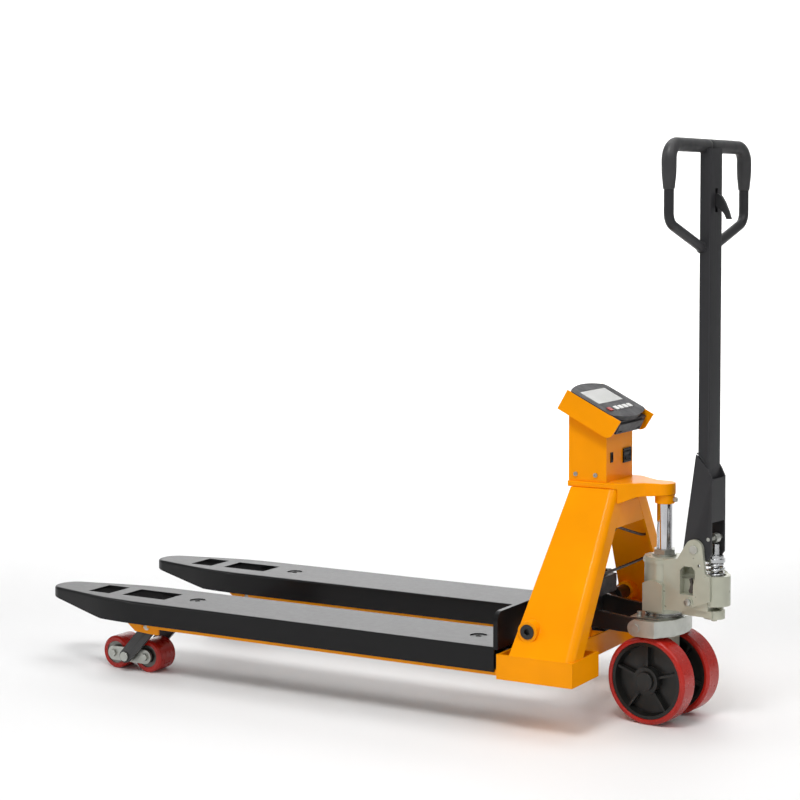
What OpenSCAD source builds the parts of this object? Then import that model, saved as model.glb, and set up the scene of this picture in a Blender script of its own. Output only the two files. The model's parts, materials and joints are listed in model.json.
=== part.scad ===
// Hand pallet truck with a built-in weighing scale.
// +X points to the operator, the forks point along -X, +Z is up, and the wheels stand on z = 0.
// The forks are drawn partly raised. Near is the -Y side and far is the +Y side.

/* [Forks] */
// Width over both forks
overall_w = 560; // [540:1:600]
// Width of one fork
fork_w = 170; // [165:1:180]
// Length of the weighing shell on a fork
fork_len = 1200; // [1100:5:1250]
// Height of the shell's side walls
shell_h = 50; // [46:1:54]
// Sheet thickness of the shell
shell_t = 5; // [4:0.5:6]
// Radius of the round tip
tip_r = 44; // [36:1:50]
// Length over which the fork narrows to its tip
taper_len = 210; // [160:5:230]

/* [Frame] */
// Height of the top of the leaning frame, under the pedestal
frame_top = 489; // [480:1:500]
// Lean of each leg in plan, from the heel to the top
leg_lean = 209; // [200:1:215]
// Sheet thickness of the legs
leg_t = 6; // [5:0.5:8]
// Height of the rocker shaft
rocker_z = 208; // [206:1:210]

/* [Steering] */
// Angle at which the steering stands, turned from straight ahead
steer_rest = -7; // [-10:1:0]
// Width of a steering wheel
wheel_w = 50; // [45:1:52]
// Gap between the two steering wheels
wheel_gap = 54; // [52:1:60]
// Diameter of a load roller
roller_d = 74; // [70:1:76]
// Width of a load roller
roller_w = 60; // [56:1:60]

/* [Handle] */
// Height of the top of the handle loop
handle_top = 1192; // [1150:1:1230]
// Half the width of the handle loop, between tube centres
loop_half_w = 156; // [140:1:160]
// Depth of the handle tube, front to back
tube_x = 25; // [25:1:30]

/* [Indicator] */
// Angle at which the indicator faces the operator
tilt = 26.5; // [20:0.5:30]
// Width of the indicator
indicator_w = 164; // [150:1:170]
// Length of the indicator along its slope
indicator_l = 134; // [126:1:140]

/* [Hidden] */
$fn = 48;
fine = 96;
eps = 0.05;
run = 0.05;          // radial running clearance of a shaft in its hole

// Sizes that other pieces or a standard fix
fork_top = 173;      // height of the fork top as drawn
wheel_d = 180;       // steering wheel
tube_y = 50;         // width of the handle tube
white_keys = 4;

// Forks
fork_c = overall_w/2 - fork_w/2;          // centre of a fork from the middle plane
shell_rear = -250;
shell_front = shell_rear - fork_len;
shell_bot = fork_top - shell_h;
heel_plate_h = 72;
nose_h = 20;
nose_run = 185;
rail_y = fork_w/2 - shell_t - 2;          // half width over the lower fork's rails
rail_t = 5;
rail_bot = shell_bot - 8;
rail_top = fork_top - shell_t - 8;
deck_z = 134;
deck_t = 6;
cell_x = [-1048, -330];                   // load cell centres along a fork
cell_l = 130;
cell_w = 34;
cell_h = fork_top - shell_t - deck_z - deck_t;
windows = [[-1331, -1271, 38], [-1235, -1116, 35]];   // front, rear, half width

// Heel and leaning frame
heel_x = [-244, -76];
heel_in = 124;                            // width of a heel box
heel_z = [110, 160];
leg_foot_z = heel_z[1];
leg_rise = frame_top - 4 - leg_foot_z;
leg_len = sqrt(leg_lean*leg_lean + leg_rise*leg_rise);
leg_angle = atan2(leg_rise, leg_lean);
leg_front = [-216, -177];                 // front edge at the foot and at the top
leg_back = [-78, -77];                    // rear edge at the foot and at the top
leg_bend = 16;
flange_w = 46;
rocker_x = -184;
shaft_r = 15;

// Load rollers
load_pivot = [-1139, 116];
bogie_pivot = [-1214, roller_d/2];
axle_pitch = 90;
arm_angle = atan2(load_pivot[1] - bogie_pivot[1], load_pivot[0] - bogie_pivot[0]);
pin_r = 8;
rod_y = 145;
load_lever_tilt = 20.66;
rocker_lever_tilt = -12.35;
link_slack = 2.4;         // room for the pin in the slotted end of a rocker arm
rod_z = 149.3;

// Steering unit, on its own axis through x = 0
half_gap = wheel_gap/2;
axle_z = wheel_d/2;
tyre_t = 11;
plate_z = [182, 216];
ear_y = [74, 88];
link_x = -27;
link_z = 199;
link_r = 7;
cast_z = [224, 338];
cast_r = 41;
rod_r = 16;
rod_bot = 298;
boss_z = 446;
gland_z = [338, 352];
spigot_r = 27.5;
pivot_x = 89;
pivot_z = 364;
ear_in = 30.4;
ear_out = 38.4;
plunger_x = 118;
block_r = 31;
block_top = 311;
spring_z = [262, 337];
spring_r = 17;
wire_r = 2.4;
cap_top = 351;
stud_top = 374;
release_pivot = [80, 278];
tube_c = 102;
grip_r = 15;
loop_r = 10;
bar_z = handle_top - grip_r;
side_low = 1024;
side_join = 974;
grip_low = 1088;
bend_r = 30;

// Pedestal and indicator
ped_x = [-188, -102];
ped_y = 66;
ind_top = [-129, 654.5];                   // middle of the indicator's face
ind_t = 40;
ind_mid = 1;              // middle of the fascia down its slope
case_mid = 6;             // middle of the deep part of the case
cradle_u = [-58, 76];     // ends of the cradle down the slope
cradle_d = 48;

// The frame stands with the middle of its outer box on the origin
rear_reach = plunger_x*cos(steer_rest) + block_r;
shift = (-shell_front - rear_reach)/2;

key_names = ["key_white_1", "key_white_2", "key_white_3", "key_white_4"];

// ---------- helpers ----------
module in_frame() { translate([shift, 0, 0]) children(); }
module steered() { in_frame() rotate([0, 0, steer_rest]) children(); }
// A piece drawn on the near side, mirrored to the far side
module on_side(side) {
    if (side < 0) children();
    else mirror([0, 1, 0]) children();
}
module both_sides() {
    for (side = [-1, 1])
        on_side(side) children();
}
module box(low, high) { translate(low) cube(high - low); }
module cyl_y(r, y0, y1, x, z) { translate([x, y1, z]) rotate([90, 0, 0]) cylinder(r = r, h = y1 - y0); }
module cyl_x(r, x0, x1, y, z) { translate([x0, y, z]) rotate([0, 90, 0]) cylinder(r = r, h = x1 - x0); }
module cyl_z(r, z0, z1, x, y) { translate([x, y, z0]) cylinder(r = r, h = z1 - z0); }
// An outline in X and Z, extruded from y0 to y1
module slab_y(y0, y1) { translate([0, y1, 0]) rotate([90, 0, 0]) linear_extrude(y1 - y0) children(); }
module hex_z(across, z0, z1, x, y) {
    translate([x, y, z0]) cylinder(d = across/cos(30), h = z1 - z0, $fn = 6);
}
module hex_y(across, y0, y1, x, z) {
    translate([x, y1, z]) rotate([90, 0, 0]) cylinder(d = across/cos(30), h = y1 - y0, $fn = 6);
}
// A bar with round ends between two points of a plane
module link_2d(a, b, ra, rb) {
    u = (b - a)/norm(b - a);
    n = [-u[1], u[0]];
    c = (ra - rb)/norm(b - a);
    up = u*c + n*sqrt(1 - c*c);
    low = u*c - n*sqrt(1 - c*c);
    translate(a) circle(ra);
    translate(b) circle(rb);
    polygon([a + up*ra, b + up*rb, b + low*rb, a + low*ra]);
}
// A rectangle with four round corners
module round_rect(w, h, r) {
    square([w - 2*r, h], center = true);
    square([w, h - 2*r], center = true);
    for (x = [-1, 1], y = [-1, 1])
        translate([x*(w/2 - r), y*(h/2 - r)]) circle(r);
}

// A tube of round section swept through the points of a path
function tangent(p, i) = let(a = p[max(i - 1, 0)], b = p[min(i + 1, len(p) - 1)]) (b - a)/norm(b - a);
function ring(c, t, r, n, ref) = let(u = cross(ref, t)/norm(cross(ref, t)), v = cross(t, u))
    [for (k = [0:n - 1]) c + r*(u*cos(360*k/n) + v*sin(360*k/n))];
module sweep(path, r, n, ref) {
    m = len(path);
    points = [for (i = [0:m - 1]) each ring(path[i], tangent(path, i), r, n, ref)];
    sides = [for (i = [0:m - 2], k = [0:n - 1]) let(j = (k + 1)%n)
        [i*n + k, i*n + j, (i + 1)*n + j, (i + 1)*n + k]];
    ends = [[for (k = [n - 1:-1:0]) k], [for (k = [0:n - 1]) (m - 1)*n + k]];
    polyhedron(points, concat(sides, ends), convexity = 10);
}
// Smooth curve through hand-picked points
function bezier(a, b, c, d, t) = a*pow(1 - t, 3) + 3*b*t*pow(1 - t, 2) + 3*c*t*t*(1 - t) + d*pow(t, 3);
function smooth(p, steps) = concat([p[0]], [for (i = [0:len(p) - 2], s = [1:steps])
    let(a = p[max(i - 1, 0)], b = p[i], c = p[i + 1], d = p[min(i + 2, len(p) - 1)])
    bezier(b, b + (c - a)/6, c - (d - b)/6, c, s/steps)]);

// ---------- forks ----------
// Plan of a fork: straight sides that narrow, past a soft bend, to a round tip
function mirrored(p) = concat(p, [for (i = [len(p) - 1:-1:0]) [p[i][0], -p[i][1]]]);
module fork_plan(inset) {
    half = fork_w/2 - inset;
    r = tip_r - inset;
    centre = [shell_front + tip_r, 0];
    corner = [shell_front + taper_len, half];
    reach = corner - centre;
    touch = atan2(reach[1], reach[0]) + acos(r/norm(reach));
    tip = [for (k = [0:12]) let(a = 180 - (180 - touch)*k/12) centre + r*[cos(a), sin(a)]];
    side = corner - tip[12];
    start = corner - side/norm(side)*70;
    bend = [for (k = [0:6]) let(t = k/6)
        start*pow(1 - t, 2) + 2*corner*t*(1 - t) + (corner + [70, 0])*t*t];
    polygon(mirrored(concat(tip, bend, [[shell_rear, half]])));
}
module fork_side(inset) {
    nose = [shell_front + nose_run, shell_bot];
    polygon([[shell_front - 1, fork_top - inset], [shell_rear, fork_top - inset],
        [shell_rear, shell_bot - inset], [nose[0], nose[1] - inset],
        [shell_front - 1, fork_top - nose_h - inset]]);
}
module fork_blank(inset) {
    intersection() {
        translate([0, 0, shell_bot - 10]) linear_extrude(shell_h + 20) fork_plan(inset);
        slab_y(-fork_w, fork_w) fork_side(inset);
    }
}
module fork_shell(side) {
    color([0.13, 0.13, 0.13]) in_frame() on_side(side) translate([0, -fork_c, 0]) {
        heel_plate();
        difference() {
            fork_blank(0);
            intersection() {
                fork_blank(shell_t);
                box([shell_front + 40, -fork_w, 0], [shell_rear + 1, fork_w, fork_top]);
            }
            for (w = windows)
                box([w[0], -w[2], fork_top - 20], [w[1], w[2], fork_top + 1]);
            for (x = cell_x)
                cyl_z(18, fork_top - 20, fork_top + 1, x, 0);
        }
    }
}
// Upright plate at the rear end of a shell, which stops the pallet
module heel_plate() {
    r = 20;
    low = fork_top - shell_t + 1;
    high = fork_top + heel_plate_h;
    translate([shell_rear + 9, 0, 0]) rotate([90, 0, -90]) linear_extrude(10) {
        translate([-fork_w/2, low]) square([fork_w, high - low - r]);
        translate([-fork_w/2 + r, low]) square([fork_w - 2*r, high - low]);
        for (y = [-1, 1])
            translate([y*(fork_w/2 - r), high - r]) circle(r);
    }
}
module rail_outline() {
    x0 = shell_front + nose_run + 75;
    polygon([[x0, shell_bot + 12], [x0 + 12, rail_bot], [heel_x[0], rail_bot], [heel_x[0], rail_top],
        [x0, rail_top]]);
}
module pivot_cheek() {
    r = 15;
    polygon([[load_pivot[0] - 56, shell_bot], [load_pivot[0] - 56, shell_bot - 4],
        [load_pivot[0] - 34, load_pivot[1] - 14], [load_pivot[0] + r, load_pivot[1] - 17],
        [load_pivot[0] + 30, load_pivot[1] - 17], [load_pivot[0] + 30, rail_top],
        [load_pivot[0] - 56, rail_top]]);
}
module lower_fork(side) {
    color([1, 0.62, 0]) in_frame() on_side(side) translate([0, -fork_c, 0]) {
        front = load_pivot[0] + 40;
        difference() {
            union() {
                for (s = [-1, 1])
                    slab_y(s*(rail_y - rail_t/2) - rail_t/2, s*(rail_y - rail_t/2) + rail_t/2)
                        rail_outline();
                box([front, -rail_y + 1, deck_z], [heel_x[0], rail_y - 1, deck_z + deck_t]);
                for (s = [-1, 1]) {
                    slab_y(s*64 - 3, s*64 + 3) pivot_cheek();
                    box([load_pivot[0] + 10, s*68 - 7, rail_top - 30],
                        [load_pivot[0] + 28, s*68 + 7, rail_top - 2]);
                }
            }
            cyl_y(pin_r + run, -fork_w, fork_w, load_pivot[0], load_pivot[1]);
            for (x = cell_x, dx = [-1, 1])
                cyl_z(5.5, 0, fork_top, x + dx*45, 0);
        }
    }
}
module load_cells() {
    color([0.75, 0.76, 0.78]) in_frame() both_sides() translate([0, -fork_c, 0])
        for (x = cell_x)
            difference() {
                box([x - cell_l/2, -cell_w/2, deck_z + deck_t],
                    [x + cell_l/2, cell_w/2, fork_top - shell_t]);
                cyl_y(11, -cell_w, cell_w, x, deck_z + deck_t + cell_h/2);
                for (dx = [-1, 1])
                    cyl_z(5.5, 0, fork_top - 12, x + dx*45, 0);
            }
}
// Cap screw standing in a hole from below, with a socket in its head
module cell_screw(x) {
    difference() {
        union() {
            cyl_z(5, deck_z, fork_top - 14, x, 0);
            cyl_z(9, deck_z - 9, deck_z, x, 0);
        }
        hex_z(8, deck_z - 10, deck_z - 4, x, 0);
    }
}
module chassis_fasteners() {
    color([0.7, 0.7, 0.68]) in_frame() {
        both_sides() translate([0, -fork_c, 0]) {
            for (x = cell_x) {
                for (dx = [-1, 1])
                    cell_screw(x + dx*45);
                difference() {
                    cyl_z(17.8, fork_top - shell_t, fork_top - 2, x, 0);
                    hex_z(12, fork_top - shell_t + 1, fork_top, x, 0);
                }
            }
            cyl_y(pin_r, -70, 70, load_pivot[0], load_pivot[1]);
        }
        both_sides()
            for (x = [ped_x[0] + 17, ped_x[1] - 24])
                difference() {
                    cyl_y(4.5, -ped_y - 3.5, -ped_y, x, frame_top + 14);
                    hex_y(4, -ped_y - 4, -ped_y - 1.5, x, frame_top + 14);
                }
        difference() {
            cyl_x(5, 20.5, 27, 0, 455);
            cyl_x(2.5, 24, 28, 0, 455);
        }
    }
}

// ---------- heel and leaning frame ----------
module heel_box(side) {
    t = 6;
    y0 = -overall_w/2;
    y1 = y0 + heel_in;
    color([1, 0.6, 0]) in_frame() on_side(side) {
        difference() {
            box([heel_x[0], y0, heel_z[0]], [heel_x[1], y1, heel_z[1]]);
            box([heel_x[0] + t, y0 + t, heel_z[0] + t], [heel_x[1] - t, y1 - t, heel_z[1] + 1]);
            cyl_x(5, heel_x[0] - 1, heel_x[0] + t + 1, -181.5, 151.3);
        }
        difference() {
            box([heel_x[0], y1, heel_z[0]], [heel_x[0] + t, -fork_c + rail_y, heel_z[1]]);
            box([heel_x[0] - 1, -rod_y - 12, rod_z - 12], [heel_x[0] + t + 1, -rod_y + 12, heel_z[1] + 1]);
        }
    }
}
// Section of a leg: the wide outer sheet and its bent rear flange, rear edge at x = 0
module leg_section() {
    difference() {
        union() {
            translate([-200, -leg_t]) square([200 - leg_bend, leg_t]);
            translate([-leg_t, -flange_w]) square([leg_t, flange_w - leg_bend]);
            intersection() {
                translate([-leg_bend, -leg_bend]) circle(leg_bend, $fn = fine);
                translate([-leg_bend, -leg_bend]) square(leg_bend + 1);
            }
        }
        translate([-leg_bend, -leg_bend]) circle(leg_bend - leg_t, $fn = fine);
    }
}
module frame_leg(side) {
    slant = atan2(leg_back[0] - leg_back[1], leg_len);
    over = 60;
    steep = (leg_front[1] - leg_front[0])/leg_len;
    color([1, 0.67, 0]) in_frame() on_side(side)
        difference() {
            union() {
                intersection() {
                    translate([0, -overall_w/2, leg_foot_z]) rotate([leg_angle, 0, 0])
                        intersection() {
                            translate([leg_back[0], 0, 0]) rotate([0, 0, slant])
                                translate([0, -over, 0]) rotate([-90, 0, 0])
                                    linear_extrude(leg_len + 2*over) mirror([0, 1]) leg_section();
                            translate([0, 0, -200]) linear_extrude(400)
                                polygon([[leg_front[0] - steep*over, -over],
                                    [leg_front[1] + steep*over, leg_len + over],
                                    [0, leg_len + over], [0, -over]]);
                        }
                    box([-300, -overall_w/2, leg_foot_z], [0, 0, frame_top - 12]);
                }
                cyl_y(21, -262, -212, rocker_x, rocker_z);
            }
            cyl_y(shaft_r + run, -270, -200, rocker_x, rocker_z);
        }
}
// Half the width between the rear flanges at a height, less a weld gap
function web_half(z) = overall_w/2 - leg_lean*(z - leg_foot_z)/leg_rise - flange_w/sin(leg_angle) - 0.3;
function mirrored_x(p) = concat(p, [for (i = [len(p) - 1:-1:0]) [-p[i][0], p[i][1]]]);
module frame_web() {
    color([0.95, 0.55, 0]) in_frame() {
        box([-132, -overall_w/2 + heel_in, 125], [-126, overall_w/2 - heel_in, 168]);
        translate([leg_back[1] - 6.3, 0, 0]) rotate([90, 0, 90]) linear_extrude(6)
            polygon(mirrored_x([[web_half(397), 397], [web_half(frame_top - 12.3), frame_top - 12.3]]));
    }
}
module head_plan() {
    polygon([[-188, -ped_y - 6], [-80, -ped_y - 6], [-30, -31], [-6, -28], [-6, 28], [-30, 31],
        [-80, ped_y + 6], [-188, ped_y + 6]]);
    translate([-6, 0]) circle(28, $fn = fine);
}
module head_bracket() {
    color([1, 0.67, 0]) in_frame() {
        difference() {
            intersection() {
                translate([0, 0, 400]) linear_extrude(100) head_plan();
                slab_y(-100, 100)
                    polygon([[-188, frame_top - 12], [leg_back[1], frame_top - 12], [leg_back[1], 446],
                        [-44, 460], [30, 466], [30, frame_top - 5], [24, frame_top],
                        [-188, frame_top]]);
            }
            box([leg_back[1] + 1, -30, 400], [-34, 30, frame_top - 8]);
            cyl_z(rod_r, 400, frame_top - 14, 0, 0);
        }
        difference() {
            cyl_z(20.5, boss_z, 466, 0, 0);
            cyl_z(rod_r, boss_z - 1, 470, 0, 0);
        }
    }
}
module junction_box() {
    color([0.1, 0.1, 0.1]) in_frame() {
        translate([-152, 0, 244]) linear_extrude(36) round_rect(44, 110, 6);
        box([-156, -18, 168], [-148, 18, 244]);
        box([-148, -18, 168], [-126, 18, 172]);
        for (y = [-34, 0, 34])
            hex_z(14, 280, 290, -152, y);
    }
}
// Routes of the signal cables, as points along each lead
cable_routes = [
    [[-264.5, -190, 154], [-252, -186, 152], [-238, -180, 151], [-226, -176, 160], [-220, -170, 190],
        [-216, -150, 226], [-210, -122, 264], [-190, -86, 306], [-168, -58, 326], [-154, -38, 314],
        [-152, -34, 290]],
    [[-264.5, 190, 154], [-252, 186, 152], [-238, 180, 151], [-226, 176, 160], [-220, 170, 190],
        [-216, 150, 226], [-210, 122, 264], [-190, 86, 306], [-168, 58, 326], [-154, 38, 314],
        [-152, 34, 290]],
    [[-152, 0, 290], [-150, 2, 322], [-138, 22, 356], [-122, 40, 390], [-124, 34, 428],
        [-138, 12, 460], [-144, 4, 476]],
    [[-92, -74, 412], [-91, -56, 402], [-93, 0, 385], [-93, 50, 371], [-91, 92, 360], [-92, 124, 357]],
    [[-100, -160, 308], [-98, -120, 305], [-99, 0, 303], [-98, 120, 305], [-100, 160, 308]]
];
module signal_cables() {
    color([0.08, 0.08, 0.08]) in_frame()
        for (route = cable_routes)
            sweep(smooth(route, 4), 3, 8, [0.3, 0.2, 0.93]);
}

// ---------- pedestal and indicator ----------
module tilted() { translate([ind_top[0], 0, ind_top[1]]) rotate([0, tilt, 0]) children(); }
module indicator_pedestal() {
    t = 2.5;
    color([0.95, 0.55, 0]) in_frame()
        difference() {
            box([ped_x[0], -ped_y, frame_top], [ped_x[1], ped_y, 660]);
            box([ped_x[0] + t, -ped_y + t, frame_top + 1], [ped_x[1] - t, ped_y - t, 661]);
            tilted() box([-120, -120, -cradle_d], [160, 120, 200]);
            box([ped_x[1] - 4, -47, 528], [ped_x[1] + 1, -35, 549]);
            box([ped_x[1] - 4, 18, 524], [ped_x[1] + 1, 52, 548]);
        }
}
module cradle_outline() {
    r = 16;
    centre = [cradle_u[1] - 3 - r, r - cradle_d];
    polygon(concat([[cradle_u[0] - 3, -cradle_d]],
        [for (a = [-90:15:0]) centre + r*[cos(a), sin(a)]],
        [[cradle_u[1], -2], [cradle_u[0], -2]]));
}
module indicator_cradle() {
    t = 3;
    w = indicator_w/2 + 1;
    color([1, 0.6, 0]) in_frame() tilted() {
        for (s = [-1, 1])
            slab_y(s*(w + t/2) - t/2, s*(w + t/2) + t/2) cradle_outline();
        box([cradle_u[0] - 3, -w - 1, -cradle_d], [cradle_u[1] - 18, w + 1, -cradle_d + t]);
        slab_y(-w - 1, w + 1)
            polygon([[cradle_u[0] - 3, -cradle_d], [cradle_u[0], -cradle_d], [cradle_u[0] + 2.4, -12.6],
                [cradle_u[0] - 0.6, -12.6]]);
    }
}
// Plan of the indicator: straight sides, bowed ends and round corners
module indicator_plan(half_w, half_l) {
    bow = 250;
    r = 12;
    translate([ind_mid, 0]) offset(r) offset(-r)
        intersection() {
            square([2*half_l, 2*half_w], center = true);
            translate([half_l - bow, 0]) circle(bow, $fn = 180);
            translate([bow - half_l, 0]) circle(bow, $fn = 180);
        }
}
display_u = [-41, 9];
display_w = 124;
key_row = 33;
key_pitch = 22;
key_y0 = -55;
function key_y(k) = key_y0 + k*key_pitch + (k > 0 ? 9 : 0);
module indicator_case() {
    color([0.18, 0.18, 0.19]) in_frame() tilted()
        difference() {
            union() {
                translate([0, 0, -12]) linear_extrude(9.9) indicator_plan(indicator_w/2, indicator_l/2 - 2);
                translate([case_mid, 0, -ind_t]) linear_extrude(ind_t - 11)
                    square([indicator_l - 16, indicator_w - 10], center = true);
            }
            box([-44, -74, -ind_t + 3], [56, 74, -5]);
            box([display_u[0] + 2, -display_w/2 + 2, -6], [display_u[1] - 2, display_w/2 - 2, 1]);
            for (k = [0:white_keys])
                cyl_z(6.5, -6, 1, key_row, key_y(k));
        }
}
module indicator_fascia() {
    color([0.22, 0.22, 0.23]) in_frame() tilted()
        difference() {
            translate([0, 0, -2]) linear_extrude(2) indicator_plan(indicator_w/2 + 4, indicator_l/2);
            box([display_u[0], -display_w/2, -3], [display_u[1], display_w/2, 1]);
            for (k = [0:white_keys])
                translate([key_row, key_y(k), -3]) linear_extrude(4) round_rect(12.6, 15.6, 2);
        }
}
module display_panel() {
    color([0.78, 0.8, 0.78]) in_frame() tilted()
        box([display_u[0] + 0.2, -display_w/2 + 0.2, -2], [display_u[1] - 0.2, display_w/2 - 0.2, -0.6]);
}
// Key cap with its stem, standing in the fascia
module key_cap(k) {
    in_frame() tilted() translate([key_row, key_y(k), 0]) {
        translate([0, 0, -0.6]) linear_extrude(2.2) round_rect(12, 15, 1.8);
        cyl_z(5, -7, -0.6, 0, 0);
    }
}
module key_red() { color([0.8, 0.15, 0.12]) key_cap(0); }
module key_white(k) { color([0.93, 0.93, 0.93]) key_cap(k); }
battery_u = case_mid + indicator_l/2 - 8;   // rear face of the case under the rim
module battery_cover() {
    color([0.16, 0.16, 0.17]) in_frame() tilted()
        difference() {
            box([battery_u, -62, -ind_t + 1], [battery_u + 5, 62, -16]);
            for (y = [-46, 46])
                box([battery_u + 3, y - 9, -ind_t + 5], [battery_u + 6, y + 9, -ind_t + 8]);
        }
}
module pedestal_sockets() {
    color([0.08, 0.08, 0.08]) in_frame() {
        difference() {
            box([ped_x[1] - 12, -47, 528], [ped_x[1] + 1.5, -35, 549]);
            box([ped_x[1] - 8, -44, 532], [ped_x[1] + 2, -38, 545]);
        }
        difference() {
            union() {
                box([ped_x[1] - 16, 18, 524], [ped_x[1] + 0.5, 52, 548]);
                box([ped_x[1], 15, 521], [ped_x[1] + 3, 55, 551]);
            }
            box([ped_x[1] - 13, 21, 526.5], [ped_x[1] + 4, 49, 545.5]);
        }
    }
}
module switch_rocker() {
    color([0.15, 0.15, 0.16]) in_frame() translate([ped_x[1] - 1, 35, 536])
        slab_y(-13, 13) polygon([[-4, -7.4], [-4, 7.4], [4, 7.6], [2.4, 0], [6.4, -7.5]]);
}

// ---------- piston and thrust plate ----------
module piston_rod() {
    color([0.85, 0.86, 0.88]) in_frame() {
        cyl_z(rod_r, rod_bot, frame_top - 14, 0, 0, $fn = fine);
    }
}
module plate_plan() {
    difference() {
        polygon(mirrored([[-52, -57], [link_x, -57], [link_x, -ear_y[1]], [15, -ear_y[1]], [42, -50],
            [50, -16]]));
        for (s = [-1, 1])
            translate([-82, s*66 - 8]) square([96, 16]);
        circle(spigot_r + run, $fn = fine);
    }
}
module thrust_plate() {
    color([0.72, 0.73, 0.72]) in_frame() {
        difference() {
            union() {
                translate([0, 0, plate_z[0]]) linear_extrude(plate_z[1] - plate_z[0]) plate_plan();
                both_sides() cyl_y(17, -ear_y[1], -ear_y[0], link_x, link_z);
            }
            both_sides() cyl_y(link_r + run, -ear_y[1] - 1, -44, link_x, link_z);
        }
        cyl_z(5, plate_z[1], plate_z[1] + 9, -38, -40);
    }
}
module link_pins() {
    color([0.6, 0.6, 0.6]) in_frame() both_sides() {
        cyl_y(link_r, -ear_y[1] - 1, -45, link_x, link_z);
        cyl_y(link_r + 2.5, -ear_y[1] - 2.5, -ear_y[1], link_x, link_z);
    }
}
module thrust_bearing() {
    color([0.55, 0.56, 0.56]) in_frame()
        difference() {
            cyl_z(39, plate_z[1], cast_z[0] - 0.4, 0, 0, $fn = fine);
            cyl_z(spigot_r + 0.3, plate_z[1] - 1, cast_z[0] + 1, 0, 0, $fn = fine);
            difference() {
                cyl_z(42, plate_z[1] + 4, plate_z[1] + 5, 0, 0, $fn = fine);
                cyl_z(37.5, plate_z[1] + 3, plate_z[1] + 6, 0, 0, $fn = fine);
            }
        }
}

// ---------- steering unit ----------
// Outline of the casting's cheeks, which carry the handle
module cheek_outline() {
    polygon([[20, cast_z[0] + 10], [20, cast_z[1]], [52, cast_z[1] + 4], [pivot_x - 18, pivot_z + 9],
        [pivot_x + 18.4, pivot_z + 8], [pivot_x + 26, block_top + 6], [plunger_x + 8, block_top],
        [plunger_x + 8, 262], [96, 250], [60, cast_z[0] + 10]]);
    translate([pivot_x, pivot_z]) circle(20, $fn = fine);
}
module pump_casting() {
    color([0.68, 0.66, 0.6]) steered()
        difference() {
            union() {
                cyl_z(cast_r, cast_z[0], cast_z[1], 0, 0, $fn = fine);
                cyl_z(cast_r + 2.5, cast_z[1] - 12, cast_z[1] - 4, 0, 0, $fn = fine);
                // spigot through the thrust plate, with the axle block between the wheels
                cyl_z(spigot_r, wheel_d + 2, cast_z[0] + 1, 0, 0, $fn = fine);
                box([-24, -half_gap + 5, axle_z - 24], [24, half_gap - 5, wheel_d + 2]);
                for (s = [-1, 1])
                    slab_y(s*(ear_in + ear_out)/2 - 4, s*(ear_in + ear_out)/2 + 4) cheek_outline();
                box([20, -ear_in - 2, 240], [plunger_x, ear_in + 2, 300]);
                cyl_z(block_r, 250, block_top, plunger_x, 0, $fn = fine);
                // raised pads on the cylinder, with arched tops
                for (s = [-1, 1])
                    slab_y(s*24 - 22.5, s*24 + 22.5)
                        intersection() {
                            translate([-25, cast_z[0] + 4]) square([46, 80]);
                            translate([-2, cast_z[0] + 30]) circle(38, $fn = fine);
                        }
                cyl_y(10, -ear_out - 3, ear_out + 3, 78, 256);
            }
            cyl_z(rod_r + run, 200, cast_z[1] + 1, 0, 0, $fn = fine);
            cyl_y(10 + eps, -half_gap, half_gap, 0, axle_z);
            cyl_y(9 + eps, -ear_out - 4, ear_out + 4, pivot_x, pivot_z);
            // spring pocket round the plunger's guide
            difference() {
                cyl_z(22, spring_z[0], block_top + 1, plunger_x, 0, $fn = fine);
                cyl_z(12.5, spring_z[0] - 1, 274, plunger_x, 0);
            }
            cyl_z(9 + run, 239, 275, plunger_x, 0);
            // windows in the cheeks
            for (s = [-1, 1])
                slab_y(s*34 - 14, s*34 + 14)
                    polygon([[58, 270], [88, 270], [88, 292], [92, 304], [92, 320], [86, 328], [66, 328],
                        [58, 320]]);
            for (s = [-1, 1])
                cyl_y(3.2, s*35 - 6, s*35 + 6, pivot_x + 12, pivot_z - 32);
        }
}
module gland_nut() {
    color([0.62, 0.62, 0.6]) steered()
        difference() {
            union() {
                cyl_z(25, gland_z[0], gland_z[0] + 4, 0, 0);
                hex_z(42, gland_z[0] + 4, gland_z[1], 0, 0);
            }
            cyl_z(rod_r + run, gland_z[0] - 1, gland_z[1] + 1, 0, 0, $fn = fine);
        }
}
module pump_sump() {
    x = plunger_x - 2;
    color([0.62, 0.6, 0.53]) steered() {
        difference() {
            union() {
                box([cast_r + 15, -27, 226], [plunger_x + 6, 27, 240]);
                cyl_z(22, 222, 240, x, 0);
            }
            cyl_z(9.5, 226.5, 241, plunger_x, 0);
            cyl_z(5, 221, 224, x, 0);
        }
        hex_z(12, 216, 222.5, x, 0);
    }
}
module wheel_axle() {
    w = half_gap + wheel_w;
    color([0.45, 0.45, 0.45]) steered() {
        cyl_y(10, -w - 2, w + 2, 0, axle_z);
        for (s = [-1, 1])
            cyl_y(19, s*(w + 2.6) - 2.5, s*(w + 2.6) + 2.5, 0, axle_z);
    }
}
module at_wheel(side) {
    steered() translate([0, side*(half_gap + wheel_w/2), axle_z]) rotate([-90*side, 0, 0]) children();
}
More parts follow.
